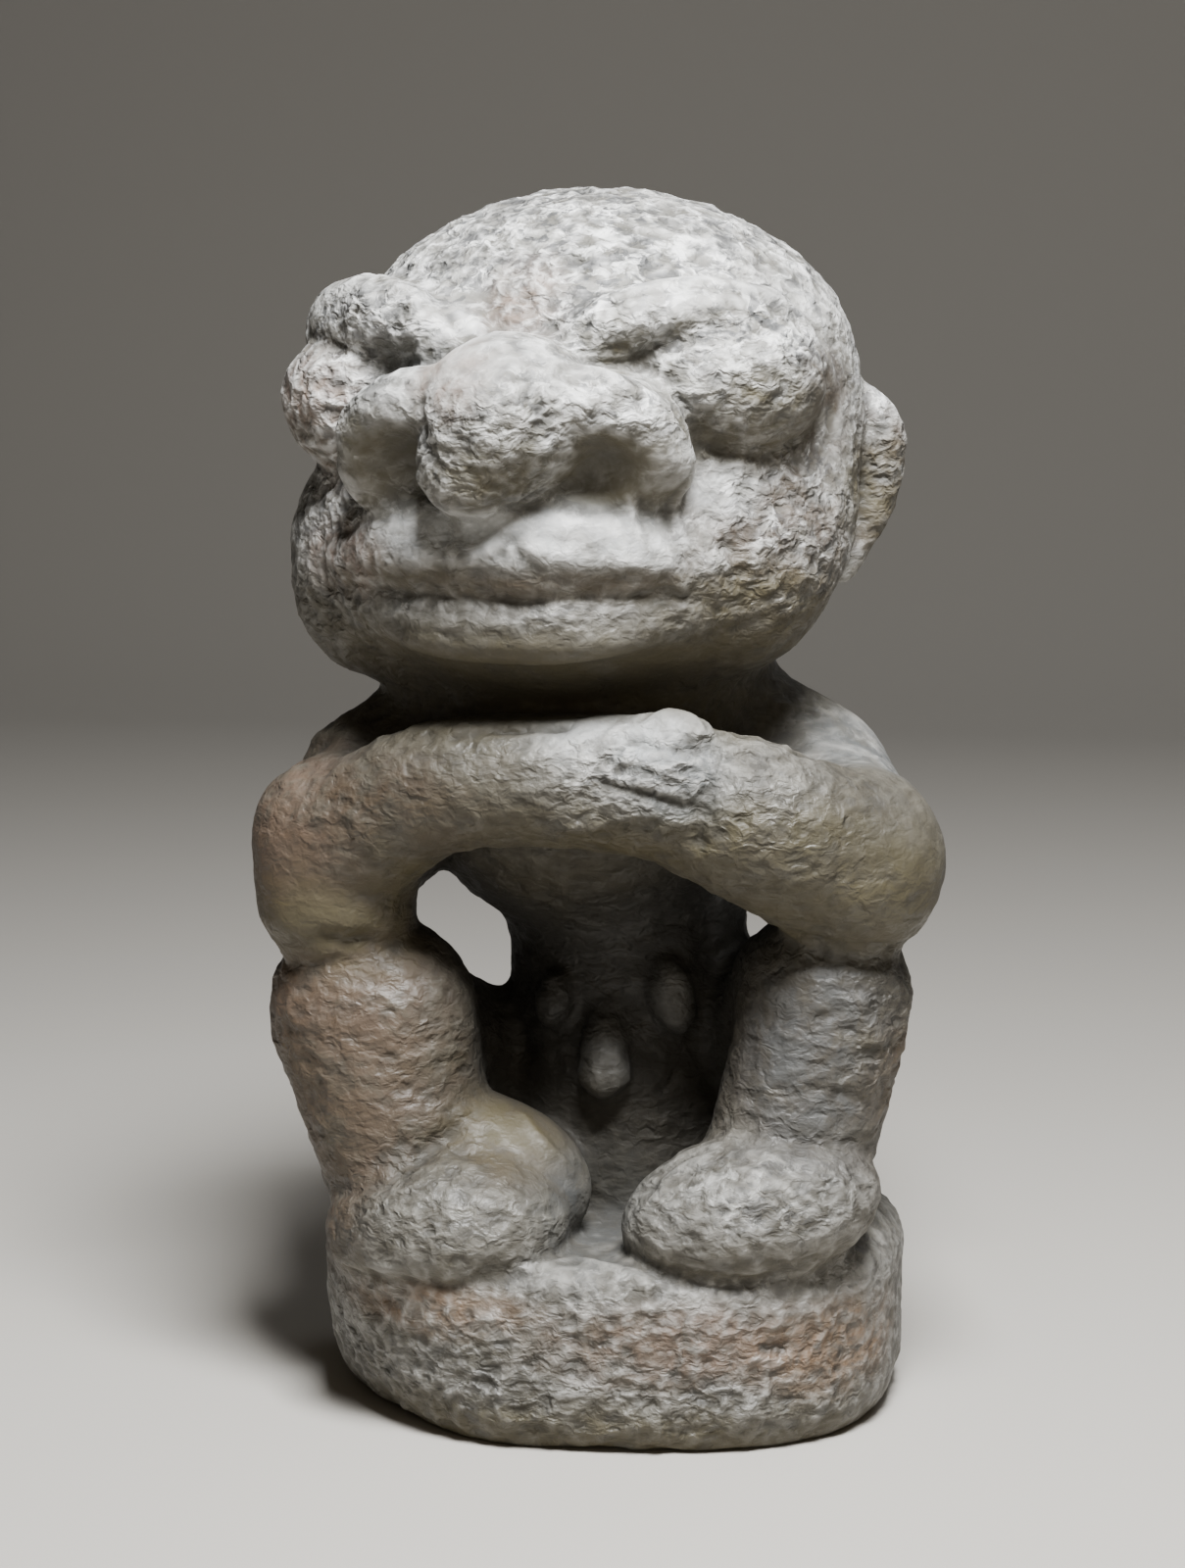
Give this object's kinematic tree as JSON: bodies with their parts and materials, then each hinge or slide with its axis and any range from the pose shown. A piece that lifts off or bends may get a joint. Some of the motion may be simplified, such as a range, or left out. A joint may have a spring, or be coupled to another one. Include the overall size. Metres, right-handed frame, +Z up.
{
  "type": "stone nomoli figure",
  "caption": "Squatting stone figure with a large round head, bulging eyes, a broad arched nose, wide lips, joined forearms under the chin and a rounded block base.",
  "frame": {"origin": "middle of the flat underside of the base", "axes": "+Z up along the figure's height, -Y the way the body faces, +X towards the figure's own left"},
  "size_m": [0.1152, 0.1087, 0.2033],
  "materials": {
    "stone": "worn, mottled grey soapstone with warm brown and rust patches"
  },
  "bodies": {
    "root": {"stone_figure": "stone"}
  },
  "joints": []
}
